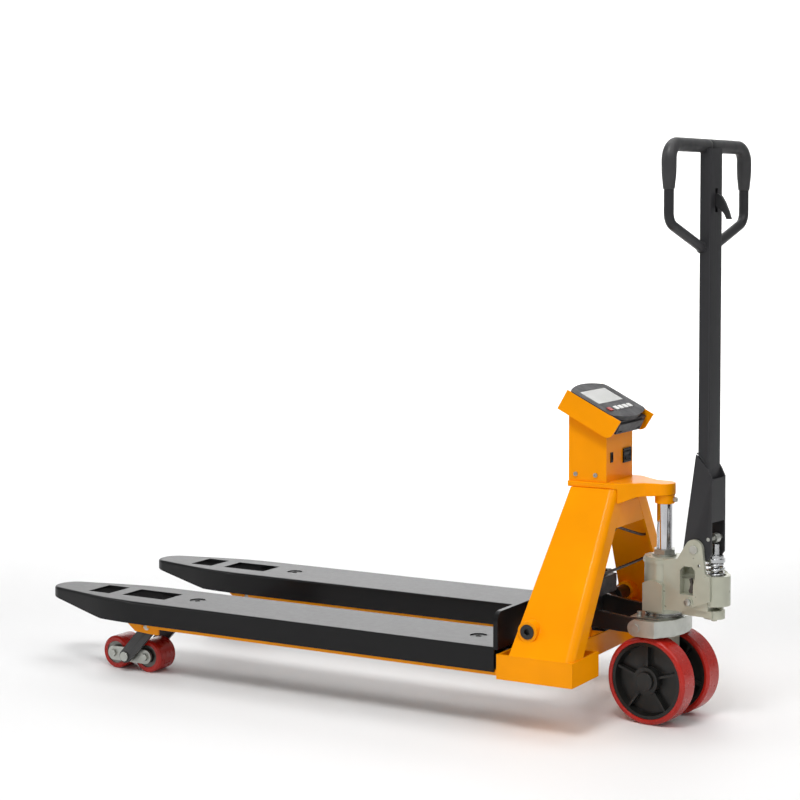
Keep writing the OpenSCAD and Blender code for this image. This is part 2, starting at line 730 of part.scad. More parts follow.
// Cast hub: a boss, a web with five ribs, and a rim under the tyre
module wheel_hub(side) {
    half = wheel_w/2;
    rim = wheel_d/2 - tyre_t;
    color([0.08, 0.08, 0.08]) at_wheel(side) {
        rotate_extrude($fn = fine) {
            translate([10 + run, -half + 1]) square([18, wheel_w - 2]);
            translate([20, -5]) square([rim - 24, 10]);
            polygon([[rim - 7, -half + 3], [rim, -half + 3], [rim, half - 3], [rim - 7, half - 3],
                [rim - 11, 4], [rim - 11, -4]]);
        }
        for (k = [0:4])
            rotate([0, 0, 72*k + 18]) box([22, -2.5, -half + 7], [rim - 6, 2.5, half - 7]);
    }
}
module wheel_tyre(side) {
    half = wheel_w/2;
    r = wheel_d/2;
    color([0.78, 0.13, 0.13]) at_wheel(side)
        rotate_extrude($fn = fine)
            polygon([[r - tyre_t, -half + 1], [r - 6, -half], [r - 2.5, -half + 1.5], [r, -half + 5],
                [r, half - 5], [r - 2.5, half - 1.5], [r - 6, half], [r - tyre_t, half - 1]]);
}

// ---------- handle ----------
module bracket_outline() {
    polygon([[pivot_x - 30, pivot_z - 12], [pivot_x - 1, 556], [pivot_x + 26, 528], [pivot_x + 35, 510],
        [pivot_x + 35, pivot_z - 8], [pivot_x + 26, pivot_z - 21], [pivot_x - 22, pivot_z - 21]]);
}
module handle_bracket() {
    t = 5;
    color([0.2, 0.2, 0.2]) steered()
        difference() {
            union() {
                for (s = [-1, 1])
                    slab_y(s*27.5 - t/2, s*27.5 + t/2) bracket_outline();
                box([pivot_x + 30, -27, 420], [pivot_x + 35, 27, 508]);
            }
            cyl_y(9 + eps, -40, 40, pivot_x, pivot_z);
            for (s = [-1, 1])
                cyl_y(4 + eps, s*27.5 - 3, s*27.5 + 3, pivot_x + 28, pivot_z + 22);
        }
}
module handle_tube() {
    color([0.22, 0.22, 0.22]) steered()
        difference() {
            translate([tube_c, 0, 424]) linear_extrude(bar_z - 5 - 424)
                round_rect(tube_x, tube_y - eps, 3);
            translate([tube_c, 0, 423]) linear_extrude(bar_z - 16 - 423)
                round_rect(tube_x - 5, tube_y - 5, 1.5);
            box([tube_c, -5, 1044], [tube_c + 20, 5, 1092]);
            cyl_y(loop_r + eps, -40, 40, loop_x, bar_z);
        }
}
side_run = [25 - loop_half_w, side_join - side_low];   // from a low corner to the tube
side_dir = side_run/norm(side_run);
turn = 90 - atan2(side_low - side_join, loop_half_w - 25);
tan_len = 28*tan(turn/2);
loop_x = tube_c - 8;
// The loop's centre line lies in the plane x = loop_x and is made of rods and bends
module loop_rod(a, b, r) {
    d = b - a;
    translate([loop_x, a[0], a[1]]) rotate([-atan2(d[0], d[1]), 0, 0]) cylinder(r = r, h = norm(d));
}
module loop_bend(c, radius, from, sweep_angle, r) {
    translate([loop_x, c[0], c[1]]) rotate([90, 0, 90]) rotate([0, 0, from])
        rotate_extrude(angle = sweep_angle) translate([radius, 0]) circle(r);
}
// Points of one half of the loop, from the middle of the top bar to the tube
function bend_points(centre, radius, from, to, steps) = [for (k = [0:steps])
    let(a = from + (to - from)*k/steps) centre + radius*[cos(a), sin(a)]];
half_path = concat([[0, bar_z], [loop_half_w - bend_r - 40, bar_z]],
    bend_points([loop_half_w - bend_r, bar_z - bend_r], bend_r, 90, 0, 9),
    bend_points([loop_half_w - 28, side_low + tan_len], 28, 0, -turn, 7),
    [[loop_half_w, side_low] + side_run + side_dir*5]);
loop_path = concat([for (i = [len(half_path) - 1:-1:1]) [loop_x, -half_path[i][0], half_path[i][1]]],
    [for (p = half_path) [loop_x, p[0], p[1]]]);
module handle_loop() {
    color([0.2, 0.2, 0.2]) steered()
        difference() {
            sweep(loop_path, loop_r, 32, [1, 0, 0]);
            box([loop_x - 30, -tube_y/2, 900], [tube_c + 30, tube_y/2, bar_z - 20]);
        }
}
module handle_grips() {
    w = loop_half_w;
    bore = loop_r + 0.15;
    color([0.12, 0.12, 0.12]) steered() both_sides() mirror([0, 1, 0])
        difference() {
            union() {
                loop_rod([27, bar_z], [w - bend_r, bar_z], grip_r);
                loop_bend([w - bend_r, bar_z - bend_r], bend_r, 0, 90, grip_r);
                loop_rod([w, grip_low], [w, bar_z - bend_r], grip_r);
            }
            loop_rod([26, bar_z], [w - bend_r, bar_z], bore);
            loop_bend([w - bend_r, bar_z - bend_r], bend_r, 0, 90, bore);
            loop_rod([w, grip_low - 1], [w, bar_z - bend_r], bore);
        }
}
module pivot_pin() {
    color([0.66, 0.66, 0.64]) steered() {
        cyl_y(9, -ear_out - 3, ear_out + 3, pivot_x, pivot_z);
        cyl_y(4, -30, 30, pivot_x + 28, pivot_z + 22);
        difference() {
            cyl_y(10, -8, 8, pivot_x + 28, pivot_z + 22);
            cyl_y(4, -9, 9, pivot_x + 28, pivot_z + 22);
        }
    }
}
module trigger_lever() {
    root = [tube_c + 4, 1076];
    color([0.15, 0.15, 0.15]) steered() {
        cyl_y(7, -4.6, 4.6, root[0], root[1]);
        slab_y(-4, 4)
            polygon([root + [-2, 4], root + [12, 6], root + [21, 0], root + [29, -13], root + [36, -29],
                root + [42, -46], root + [33, -46], root + [28, -36], root + [20, -27],
                root + [12, -24], root + [5, -14], root + [-2, -4]]);
    }
}
module plunger() {
    color([0.8, 0.8, 0.82]) steered() {
        cyl_z(9, 266, spring_z[1], plunger_x, 0);
        cyl_z(20, spring_z[1], cap_top - 6, plunger_x, 0);
        cyl_z(17, cap_top - 6, cap_top, plunger_x, 0);
        cyl_z(7.5, cap_top, stud_top, plunger_x, 0);
    }
}
spring_turns = 7;
module plunger_spring() {
    steps = spring_turns*14;
    rise = spring_z[1] - spring_z[0] - 2*wire_r - 0.6;
    path = [for (i = [0:steps]) let(a = 360*spring_turns*i/steps)
        [plunger_x + spring_r*cos(a), spring_r*sin(a), spring_z[0] + wire_r + 0.3 + rise*i/steps]];
    color([0.75, 0.76, 0.78]) steered() sweep(path, wire_r, 12, [0, 0, 1]);
}
module release_lever() {
    color([0.5, 0.5, 0.5]) steered()
        slab_y(-33, -27) {
            translate(release_pivot) circle(5);
            polygon([[76, 279], [83, 279], [84, 292], [81, 304], [76, 302], [79, 291]]);
        }
}

// ---------- lifting linkage ----------
rocker_arm_len = link_x - rocker_x;
module rocker_frame() {
    slot = [154, 176];
    rest = atan2(link_z - rocker_z, rocker_arm_len);
    color([0.07, 0.07, 0.07]) in_frame() {
        difference() {
            cyl_y(shaft_r, -264, 264, rocker_x, rocker_z);
            both_sides() cyl_y(6, -266, -256, rocker_x, rocker_z);
        }
        both_sides() {
            difference() {
                slab_y(-71, -61) translate([rocker_x, rocker_z]) rotate(rest)
                    difference() {
                        union() {
                            circle(27);
                            polygon([[0, 27], [60, 20], [slot[1], 14.5], [slot[1], -14.5], [60, -17],
                                [0, -27]]);
                            translate([slot[1], 0]) circle(14.5);
                        }
                        translate([slot[0], 0]) circle(link_r + link_slack);
                        translate([slot[1], 0]) circle(link_r + link_slack);
                        translate([slot[0], -link_r - link_slack])
                            square([slot[1] - slot[0], 2*(link_r + link_slack)]);
                    }
                cyl_y(shaft_r - 0.01, -80, -50, rocker_x, rocker_z);
            }
            difference() {
                slab_y(-rod_y - 4, -rod_y + 4)
                    difference() {
                        union() {
                            translate([rocker_x, rocker_z]) circle(25);
                            rotate_about([rocker_x, rocker_z], rocker_lever_tilt)
                                polygon([[rocker_x - 20, rocker_z], [rocker_x + 20, rocker_z],
                                    [rocker_x + 12, rocker_z - 72], [rocker_x - 12, rocker_z - 72]]);
                        }
                        rotate_about([rocker_x, rocker_z], rocker_lever_tilt)
                            translate([rocker_x - 6.4, rocker_z - 74]) square([12.8, 24]);
                    }
                cyl_y(shaft_r - 0.01, -160, -130, rocker_x, rocker_z);
            }
        }
    }
}
module rotate_about(c, a) { translate(c) rotate(a) translate(-c) children(); }
// Push rod, with a forked end and a pin at each end
rod_front = load_pivot[0] - (rod_z - load_pivot[1])*tan(load_lever_tilt);
rod_back = rocker_x - (rocker_z - rod_z)*tan(-rocker_lever_tilt);
module push_rods() {
    color([0.2, 0.2, 0.2]) in_frame() both_sides() {
        cyl_x(7, rod_front + 26, rod_back - 26, -rod_y, rod_z);
        for (e = [[rod_front, 1], [rod_back, -1]]) {
            for (s = [-1, 1])
                slab_y(-rod_y + s*7 - 2, -rod_y + s*7 + 2) {
                    translate([e[0], rod_z]) circle(8);
                    translate([min(e[0], e[0] + e[1]*27), rod_z - 8]) square([27, 16]);
                }
            box([min(e[0] + e[1]*19, e[0] + e[1]*27), -rod_y - 9, rod_z - 8],
                [max(e[0] + e[1]*19, e[0] + e[1]*27), -rod_y + 9, rod_z + 8]);
            cyl_y(5, -rod_y - 10, -rod_y + 10, e[0], rod_z);
        }
    }
}
module load_frame(side) {
    color([0.1, 0.1, 0.1]) in_frame() on_side(side) translate([0, -fork_c, 0])
        difference() {
            union() {
                for (s = [-1, 1])
                    slab_y(s*50 - 4, s*50 + 4) link_2d(load_pivot, bogie_pivot, 17, 15);
                // tube round the pivot pin and a short web, clear of the rear roller
                cyl_y(14, -50, 50, load_pivot[0], load_pivot[1]);
                translate([load_pivot[0], 0, load_pivot[1]]) rotate([0, -arm_angle, 0])
                    box([-24, -50, 4], [0, 50, 12]);
                slab_y(46, 54) rotate_about(load_pivot, load_lever_tilt)
                    difference() {
                        translate([load_pivot[0] - 11, load_pivot[1]]) square([22, 42]);
                        translate([load_pivot[0] - 6.2, load_pivot[1] + 27]) square([12.4, 20]);
                    }
            }
            cyl_y(pin_r + run, -80, 80, load_pivot[0], load_pivot[1]);
            cyl_y(pin_r + run, -80, 80, bogie_pivot[0], bogie_pivot[1]);
        }
}
module bogie_pin(side) {
    color([0.6, 0.6, 0.58]) in_frame() on_side(side)
        translate([bogie_pivot[0], -fork_c, bogie_pivot[1]]) {
            cyl_y(pin_r, -58, 58, 0, 0);
            for (s = [-1, 1])
                cyl_y(11, s*56.4 - 2, s*56.4 + 2, 0, 0);
        }
}
module bogie(side) {
    half = axle_pitch/2;
    z = bogie_pivot[1];
    color([0.72, 0.72, 0.68]) in_frame() on_side(side) translate([bogie_pivot[0], -fork_c, 0]) {
        difference() {
            for (s = [-1, 1]) {
                slab_y(s*35 - 3, s*35 + 3) link_2d([-half, z], [half, z], 16, 16);
                cyl_y(12, s*40 - 5.6, s*40 + 5.6, 0, z);
            }
            cyl_y(pin_r + run, -60, 60, 0, z);
        }
        for (s = [-1, 1], x = [-half, half])
            hex_y(15, s*40 - 3, s*40 + 3, x, z);
        for (x = [-half, half])
            cyl_y(pin_r - run, -38, 38, x, z);
    }
}
module roller(side, end) {
    half = roller_w/2;
    r = roller_d/2;
    color([0.75, 0.12, 0.12]) in_frame()
        translate([bogie_pivot[0] + end*axle_pitch/2, side*fork_c, bogie_pivot[1]]) rotate([90, 0, 0]) {
            rotate_extrude($fn = fine)
                polygon([[r - 8, -half + 1], [r - 4, -half], [r, -half + 4], [r, half - 4],
                    [r - 4, half], [r - 8, half - 1]]);
            rotate_extrude($fn = fine) {
                translate([r - 12, -half + 1]) square([4, roller_w - 2]);
                translate([pin_r, -half + 3]) square([8, roller_w - 6]);
                for (y = [-half + 3, half - 13])
                    translate([pin_r + 6, y]) square([r - 12 - pin_r - 6, 10]);
            }
        }
}

fork_shell(-1);  // fork_shell_near
fork_shell(1);  // fork_shell_far
lower_fork(-1);  // lower_fork_near
lower_fork(1);  // lower_fork_far
load_cells();
chassis_fasteners();
heel_box(-1);  // heel_box_near
heel_box(1);  // heel_box_far
frame_leg(-1);  // frame_leg_near
frame_leg(1);  // frame_leg_far
frame_web();
head_bracket();
junction_box();
signal_cables();
indicator_pedestal();
indicator_cradle();
indicator_case();
indicator_fascia();
display_panel();
battery_cover();
pedestal_sockets();
switch_rocker();
key_red();
for (k = [1:white_keys])
    key_white(k);
piston_rod();
thrust_plate();
link_pins();
thrust_bearing();
pump_casting();
gland_nut();
pump_sump();
wheel_axle();
wheel_hub(-1);  // wheel_hub_near
wheel_hub(1);  // wheel_hub_far
wheel_tyre(-1);  // wheel_tyre_near
wheel_tyre(1);  // wheel_tyre_far
handle_bracket();
handle_tube();
handle_loop();
handle_grips();
pivot_pin();
trigger_lever();
plunger();
plunger_spring();
release_lever();
rocker_frame();
push_rods();
load_frame(-1);  // load_frame_near
load_frame(1);  // load_frame_far
bogie_pin(-1);  // bogie_pin_near
bogie_pin(1);  // bogie_pin_far
bogie(-1);  // bogie_near
bogie(1);  // bogie_far
roller(-1, -1);  // roller_near_front
roller(-1, 1);  // roller_near_rear
roller(1, -1);  // roller_far_front
roller(1, 1);  // roller_far_rear
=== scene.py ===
import json
import math

import bmesh
import bpy
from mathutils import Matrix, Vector


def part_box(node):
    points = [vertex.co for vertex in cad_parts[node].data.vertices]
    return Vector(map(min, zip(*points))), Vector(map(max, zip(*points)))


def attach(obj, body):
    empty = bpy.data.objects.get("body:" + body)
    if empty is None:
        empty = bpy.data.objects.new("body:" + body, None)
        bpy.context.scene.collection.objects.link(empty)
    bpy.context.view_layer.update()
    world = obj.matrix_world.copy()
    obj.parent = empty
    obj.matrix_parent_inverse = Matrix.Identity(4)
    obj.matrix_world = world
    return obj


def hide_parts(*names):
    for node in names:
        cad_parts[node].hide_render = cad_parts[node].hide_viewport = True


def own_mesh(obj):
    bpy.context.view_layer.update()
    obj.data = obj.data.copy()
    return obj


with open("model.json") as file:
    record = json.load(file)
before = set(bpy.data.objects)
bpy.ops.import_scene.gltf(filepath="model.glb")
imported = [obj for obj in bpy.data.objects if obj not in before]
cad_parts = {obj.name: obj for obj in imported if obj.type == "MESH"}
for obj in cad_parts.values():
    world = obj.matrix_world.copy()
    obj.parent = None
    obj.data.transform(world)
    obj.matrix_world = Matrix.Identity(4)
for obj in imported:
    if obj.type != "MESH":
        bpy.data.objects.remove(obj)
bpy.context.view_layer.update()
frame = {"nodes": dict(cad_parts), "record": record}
nodes = frame["nodes"]
bodies = frame["record"]["behaviour"]["bodies"]
body_of = {node: body for body, members in bodies.items() for node in members}
slot_of = {part["node"]: part["material_slot"] for part in frame["record"]["subparts"]}
scene = bpy.context.scene

MM = 0.001
X, Y, Z = Vector((1, 0, 0)), Vector((0, 1, 0)), Vector((0, 0, 1))
SIDES = ((-1, "near"), (1, "far"))

# ---------- camera ----------
CAMERA_PLACE = (2.1658, -3.6105, 1.0440)
CAMERA_TURN = 29.515
CAMERA_PITCH = 3.0
LENS = 85.54
SHIFT = (-0.0515, -0.1102)

lens = bpy.data.cameras.new("camera")
lens.lens = LENS
lens.sensor_width = 36
lens.shift_x, lens.shift_y = SHIFT
camera = bpy.data.objects.new("camera", lens)
camera.location = CAMERA_PLACE
camera.rotation_euler = (math.radians(90 - CAMERA_PITCH), 0, math.radians(CAMERA_TURN))
scene.collection.objects.link(camera)
scene.camera = camera


# ---------- places ----------
AXIS_X = sum(corner.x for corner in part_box("piston_rod")) / 2
STEER_REST = math.radians(-7)


def chassis(x, y, z):
    """A point of the chassis, from millimetres about the steering axis."""
    return Vector((AXIS_X + x * MM, y * MM, z * MM))


def steered(x, y, z):
    """A point of the steering unit as it stands, from millimetres about its own axis."""
    turned = (x * math.cos(STEER_REST) - y * math.sin(STEER_REST),
              x * math.sin(STEER_REST) + y * math.cos(STEER_REST))
    return chassis(*turned, z)


# ---------- materials ----------
IOR = 1.45
COAT_ROUGHNESS = 0.08
NOISE_ROUGHNESS = 0.55
MIX_A, MIX_B, MIX_RESULT = 6, 7, 2      # the mix node's colour sockets


def shade(colour, factor):
    return tuple(min(1.0, c * factor) for c in colour)


class Nodes:
    """A node tree, with short ways to add to it."""

    def __init__(self, tree):
        self.tree = tree

    def add(self, kind, values=None, links=None):
        """A new node: values go into its inputs as they are, links come from other outputs."""
        node = self.tree.nodes.new(kind)
        for socket, value in (values or {}).items():
            node.inputs[socket].default_value = value
        for socket, output in (links or {}).items():
            self.tree.links.new(output, node.inputs[socket])
        return node

    def ramp(self, fac, stops):
        """A colour that runs through (place, colour) stops as fac rises."""
        node = self.add("ShaderNodeValToRGB", links={"Fac": fac})
        elements = node.color_ramp.elements
        while len(elements) < len(stops):
            elements.new(0.5)
        for element, (place, colour) in zip(elements, stops):
            element.position = place
            element.color = (*colour, 1)
        return node.outputs["Color"]

    def spread(self, fac, low, high, start=0.3, end=0.7):
        """A value that goes from low to high as fac goes from start to end."""
        values = {"From Min": start, "From Max": end, "To Min": low, "To Max": high}
        return self.add("ShaderNodeMapRange", values, {"Value": fac}).outputs["Result"]

    def height(self, coords):
        return self.add("ShaderNodeSeparateXYZ", links={"Vector": coords}).outputs["Z"]


class Shader(Nodes):
    """A material, built step by step."""

    def __init__(self, name, rough, metallic=0.0, coat=0.0, spec=0.5):
        self.material = bpy.data.materials.new(name)
        self.material.use_nodes = True
        super().__init__(self.material.node_tree)
        self.surface = self.tree.nodes["Principled BSDF"].inputs
        self.coords = self.add("ShaderNodeTexCoord").outputs["Object"]
        self.bumps = None
        for socket, value in (("Roughness", rough), ("Metallic", metallic), ("Coat Weight", coat),
                              ("Coat Roughness", COAT_ROUGHNESS), ("Specular IOR Level", spec),
                              ("IOR", IOR)):
            self.surface[socket].default_value = value

    def noise(self, scale, detail, stretch=None):
        """Noise with features about 1/scale metres across, drawn out along an axis by stretch."""
        place = self.coords
        if stretch:
            place = self.add("ShaderNodeMapping", {"Scale": stretch}, {"Vector": place}).outputs["Vector"]
        values = {"Scale": scale, "Detail": detail, "Roughness": NOISE_ROUGHNESS}
        return self.add("ShaderNodeTexNoise", values, {"Vector": place}).outputs["Fac"]

    def tones(self, colour, scale, detail, *stops):
        """One colour, lighter and darker along a noise by (place, factor) stops."""
        return self.ramp(self.noise(scale, detail), [(place, shade(colour, by)) for place, by in stops])

    def edges(self):
        """1 on convex edges, about 0.5 on flats, 0 in corners."""
        return self.add("ShaderNodeNewGeometry").outputs["Pointiness"]

    def mix(self, fac, output, colour):
        """Goes from another node's output to a plain colour as fac rises."""
        node = self.add("ShaderNodeMix")
        node.data_type = "RGBA"
        self.tree.links.new(fac, node.inputs["Factor"])
        self.tree.links.new(output, node.inputs[MIX_A])
        node.inputs[MIX_B].default_value = (*colour, 1)
        return node.outputs[MIX_RESULT]

    def colour(self, output):
        self.tree.links.new(output, self.surface["Base Color"])

    def gloss(self, low, high, scale, detail, stretch=None):
        """Roughness that a noise moves between low and high."""
        rough = self.spread(self.noise(scale, detail, stretch), low, high)
        self.tree.links.new(rough, self.surface["Roughness"])

    def bump(self, depth, strength, scale, detail, stretch=None):
        """Adds noise that deep in metres on top of the bumps before."""
        links = {"Height": self.noise(scale, detail, stretch)}
        if self.bumps:
            links["Normal"] = self.bumps
        node = self.add("ShaderNodeBump", {"Distance": depth, "Strength": strength}, links)
        self.bumps = node.outputs["Normal"]
        self.tree.links.new(self.bumps, self.surface["Normal"])


SPRAYED = (6, 3, (0.35, 0.93), (0.65, 1.05))        # the slow tones of sprayed paint


def painted_shade_inside(name, colour, shade_colour, height):
    """Powder coat below a height, and painted shade above it, dark where the shells cover the metal."""
    s = Shader(name, 0.32, coat=0.1, spec=0.15)
    above = s.spread(s.height(s.coords), 0.0, 1.0, height - 2 * MM, height + 2 * MM)
    s.colour(s.mix(above, s.tones(colour, *SPRAYED), shade_colour))
    s.gloss(0.28, 0.4, 25, 3)
    s.bump(0.00008, 0.5, 420, 2)
    return s.material


def powder_coat(name, colour, rough, coat, spec, peel=0.00012, wear=None):
    """Sprayed paint: a faint orange peel, slow changes of tone, and worn edges where wear is a colour."""
    s = Shader(name, rough, coat=coat, spec=spec)
    paint = s.tones(colour, *SPRAYED)
    if wear:
        paint = s.mix(s.spread(s.edges(), 0.0, 0.55, 0.53, 0.62), paint, wear)
    s.colour(paint)
    s.gloss(rough - 0.01, rough + 0.02, 90, 2)
    s.bump(peel, 0.5, 420, 2)
    return s.material


def steel(name, colour, rough, stain=0.82, scale=90, bump=0.00004, stretch=None):
    """Plated or ground metal: uneven gloss and a little darkening."""
    s = Shader(name, rough, metallic=1.0)
    s.colour(s.tones(colour, 18, 5, (0.3, stain), (0.55, 1), (0.75, 1.1)))
    s.gloss(rough - 0.08, rough + 0.14, scale, 4, stretch)
    s.bump(bump, 0.6, scale * 6, 3, stretch)
    return s.material


def cast_metal(name, colour, rough, metallic, spec=0.5, grain=0.00015):
    """Sand-cast surface: lumps and fine grain under a thin paint."""
    s = Shader(name, rough, metallic=metallic, spec=spec)
    s.colour(s.tones(colour, 16, 2, (0.28, 0.9), (0.5, 1), (0.78, 1.1)))
    s.gloss(rough - 0.06, rough + 0.08, 40, 2)
    s.bump(grain * 1.6, 0.35, 45, 1)
    s.bump(grain * 0.45, 0.5, 520, 1)
    return s.material


def polyurethane(name, colour):
    """Cast tyre rubber: glossy, with darker patches."""
    s = Shader(name, 0.28, coat=0.15, spec=0.4)
    s.colour(s.tones(colour, 14, 5, (0.3, 0.8), (0.6, 1), (0.8, 1.12)))
    s.gloss(0.2, 0.42, 60, 5)
    s.bump(0.00005, 0.5, 260, 3)
    return s.material


def moulded(name, colour, rough, grain=0.0001, scale=900, spec=0.5):
    """Moulded plastic or rubber with a fine texture."""
    s = Shader(name, rough, spec=spec)
    s.colour(s.tones(colour, 20, 4, (0.35, 0.88), (0.7, 1.14)))
    s.gloss(rough - 0.06, rough + 0.1, 55, 3)
    s.bump(grain, 0.6, scale, 2)
    return s.material


def glass_display(name):
    """Reflective display: an uneven silvery field under a clear cover."""
    s = Shader(name, 0.16, coat=0.3)
    s.colour(s.ramp(s.noise(9, 2), [(0.3, (0.33, 0.34, 0.32)), (0.7, (0.40, 0.40, 0.385))]))
    s.gloss(0.12, 0.2, 120, 2)
    s.bump(0.00002, 0.3, 40, 2)
    return s.material


ORANGE = (0.93, 0.318, 0.0)
# painted shade: the dark colour given to the lower fork above this height, where the shells shade it
SHADE_UNDER_SHELLS = (0.012, 0.012, 0.012)
SHADE_ABOVE = 127 * MM

finish = {
    "fork_black": powder_coat("fork_paint", (0.0045, 0.0045, 0.005), 0.34, coat=0.12, spec=0.22),
    "frame_orange": powder_coat("frame_paint", ORANGE, 0.30, coat=0.07, spec=0.08, peel=0.00005),
    "load_cell_steel": steel("load_cell_plate", (0.62, 0.63, 0.65), 0.28),
    "zinc": steel("zinc_plate", (0.52, 0.53, 0.49), 0.36, stain=0.75),
    "black_plastic": moulded("black_plastic", (0.008, 0.008, 0.009), 0.42, spec=0.25),
    "cable_black": moulded("cable_jacket", (0.010, 0.010, 0.010), 0.42, grain=0.00005),
    "indicator_grey": moulded("indicator_shell", (0.022, 0.022, 0.024), 0.46, grain=0.00014, scale=700),
    "fascia": moulded("fascia_film", (0.026, 0.025, 0.028), 0.46, grain=0.00005, scale=1200),
    "display": glass_display("display_glass"),
    "key_red": moulded("red_key", (0.45, 0.025, 0.02), 0.34, grain=0.00003),
    "key_white": moulded("white_key", (0.70, 0.70, 0.68), 0.34, grain=0.00003),
    "chrome_rod": steel("hard_chrome", (0.66, 0.66, 0.68), 0.10, scale=40, bump=0.00001,
                        stretch=(1, 1, 0.06)),
    "bearing_steel": steel("bearing_steel", (0.34, 0.34, 0.33), 0.25),
    "casting": cast_metal("pump_casting", (0.47, 0.475, 0.385), 0.33, metallic=0.4),
    "dark_steel": steel("oiled_steel", (0.12, 0.115, 0.11), 0.36),
    "hub_black": cast_metal("hub_paint", (0.012, 0.012, 0.011), 0.34, metallic=0.0, spec=0.45),
    "tyre_red": polyurethane("red_tyre", (0.45, 0.013, 0.006)),
    "handle_grey": powder_coat("handle_paint", (0.022, 0.022, 0.024), 0.38, coat=0.05, spec=0.3,
                               wear=(0.08, 0.08, 0.085)),
    "grip": moulded("grip_rubber", (0.032, 0.032, 0.033), 0.44, grain=0.00016, scale=420),
    "trigger": moulded("trigger_nylon", (0.016, 0.016, 0.017), 0.4),
    "plated": steel("bright_zinc", (0.60, 0.61, 0.62), 0.2, stain=0.8),
    "linkage_black": powder_coat("linkage_paint", (0.010, 0.010, 0.010), 0.32, coat=0.12, spec=0.4,
                                 wear=(0.07, 0.07, 0.07)),
}
# the lower fork's orange, with painted shade above the shell line
lower_fork_paint_and_shade = painted_shade_inside("lower_fork_paint_and_shade", ORANGE, SHADE_UNDER_SHELLS, SHADE_ABOVE)
roller_hub = steel("roller_hub", (0.20, 0.195, 0.18), 0.34, stain=0.6)


# ---------- meshes ----------
SAME_POINT = 2e-6
SAME_PLANE = math.radians(0.6)


def new_piece(name, mesh, material, body):
    piece = bpy.data.objects.new(name, mesh)
    scene.collection.objects.link(piece)
    piece.data.materials.clear()
    piece.data.materials.append(material)
    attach(piece, body)
    return piece


def bevelled(node, width, segments=2, angle=28, material=None, chosen=None):
    """A copy of a CAD node with broken edges, shown in its place. chosen picks the edges."""
    mesh = nodes[node].data.copy()
    mesh.materials.clear()
    bm = bmesh.new()
    bm.from_mesh(mesh)
    bmesh.ops.remove_doubles(bm, verts=bm.verts, dist=SAME_POINT)
    bmesh.ops.dissolve_limit(bm, angle_limit=SAME_PLANE, verts=bm.verts, edges=bm.edges)
    bmesh.ops.recalc_face_normals(bm, faces=bm.faces)
    if chosen:
        weight = bm.edges.layers.float.new("bevel_weight_edge")
        for edge in bm.edges:
            edge[weight] = 1.0 if chosen(edge) else 0.0
    bm.to_mesh(mesh)
    bm.free()
    if mesh.attributes.get("custom_normal"):
        mesh.attributes.remove(mesh.attributes["custom_normal"])
    mesh.shade_smooth()
    mesh.set_sharp_from_angle(angle=math.radians(angle))
    slot = slot_of[node]
    piece = new_piece(node + "_piece", mesh, material or finish[slot], body_of[node])
    bevel = piece.modifiers.new("edge", "BEVEL")
    bevel.width = width
    bevel.segments = segments
    bevel.limit_method = "WEIGHT" if chosen else "ANGLE"
    bevel.angle_limit = math.radians(angle)
    bevel.harden_normals = not chosen
    bevel.use_clamp_overlap = not chosen
    bevel.miter_outer = "MITER_ARC"
    if chosen:
        even = piece.modifiers.new("even", "WEIGHTED_NORMAL")
        even.keep_sharp = True
    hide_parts(node)
    return piece


def tube(name, path, radii, body, slot, sides, across=Z):
    """A closed round bar along a path of points, with a radius at each."""
    bm = bmesh.new()
    rings = []
    for i, point in enumerate(path):
        along = (path[min(i + 1, len(path) - 1)] - path[max(i - 1, 0)]).normalized()
        u = across.cross(along).normalized()
        v = along.cross(u)
        rings.append([bm.verts.new(point + radii[i] * (u * math.cos(a) + v * math.sin(a)))
                      for a in (2 * math.pi * k / sides for k in range(sides))])
    for low, high in zip(rings, rings[1:]):
        for k in range(sides):
            j = (k + 1) % sides
            bm.faces.new((low[k], low[j], high[j], high[k]))
    bm.faces.new(rings[0][::-1])
    bm.faces.new(rings[-1])
    bmesh.ops.recalc_face_normals(bm, faces=bm.faces)
    mesh = bpy.data.meshes.new(name)
    bm.to_mesh(mesh)
    bm.free()
    mesh.shade_smooth()
    mesh.set_sharp_from_angle(angle=math.radians(50))
    return new_piece(name, mesh, finish[slot], body)


def evenly(points, step):
    """The same route with a point about every step metres."""
    route = [points[0]]
    for a, b in zip(points, points[1:]):
        parts = max(1, round((b - a).length / step))
        route += [a.lerp(b, i / parts) for i in range(1, parts + 1)]
    return route


def weld(name, points, radius):
    """A weld bead under the handle's paint: a low round bar with close ripples."""
    route = evenly(points, radius * 0.35)
    radii = [radius * (1 + 0.13 * math.sin(2 * math.pi * i / 4.2)) for i in range(len(route))]
    radii[0] = radii[-1] = radius * 0.3
    tube(name, route, radii, "handle", "handle_grey", 10, Y)


def repaint(piece, material, chosen):
    """Gives another material to the faces that pass the test."""
    piece.data.materials.append(material)
    for face in piece.data.polygons:
        if chosen(face):
            face.material_index = 1


# ---------- CAD nodes ----------
EDGE = {        # bevel widths in millimetres, by the start of the node's name
    "lower_fork": 0.8, "heel_box": 1.8, "frame_leg": 2.4, "frame_web": 0.8,
    "head_bracket": 5.0, "indicator_pedestal": 0.8, "indicator_cradle": 0.9, "indicator_case": 1.2,
    "indicator_fascia": 0.5, "display_panel": 0.2, "battery_cover": 1.0, "pedestal_sockets": 0.5,
    "switch_rocker": 0.5, "key_red": 0.7, "key_white": 0.7, "junction_box": 1.2,
    "thrust_plate": 2.2, "link_pins": 0.8, "thrust_bearing": 0.4, "pump_casting": 1.8, "gland_nut": 0.7,
    "pump_sump": 1.4, "wheel_hub": 1.2, "wheel_axle": 0.8, "handle_bracket": 0.8, "handle_tube": 0.6,
    "pivot_pin": 0.8, "trigger_lever": 1.4, "plunger": 1.0, "release_lever": 0.8,
    "rocker_frame": 1.6, "push_rods": 0.8, "load_frame": 1.0, "bogie_pin": 0.8, "bogie": 0.8,
    "chassis_fasteners": 0.4, "load_cells": 0.6, "piston_rod": 0.5, "roller": 0.6, "wheel_tyre": 1.0,
}
OWN_SHAPE = ("handle_grips", "plunger_spring", "signal_cables")     # built anew further down
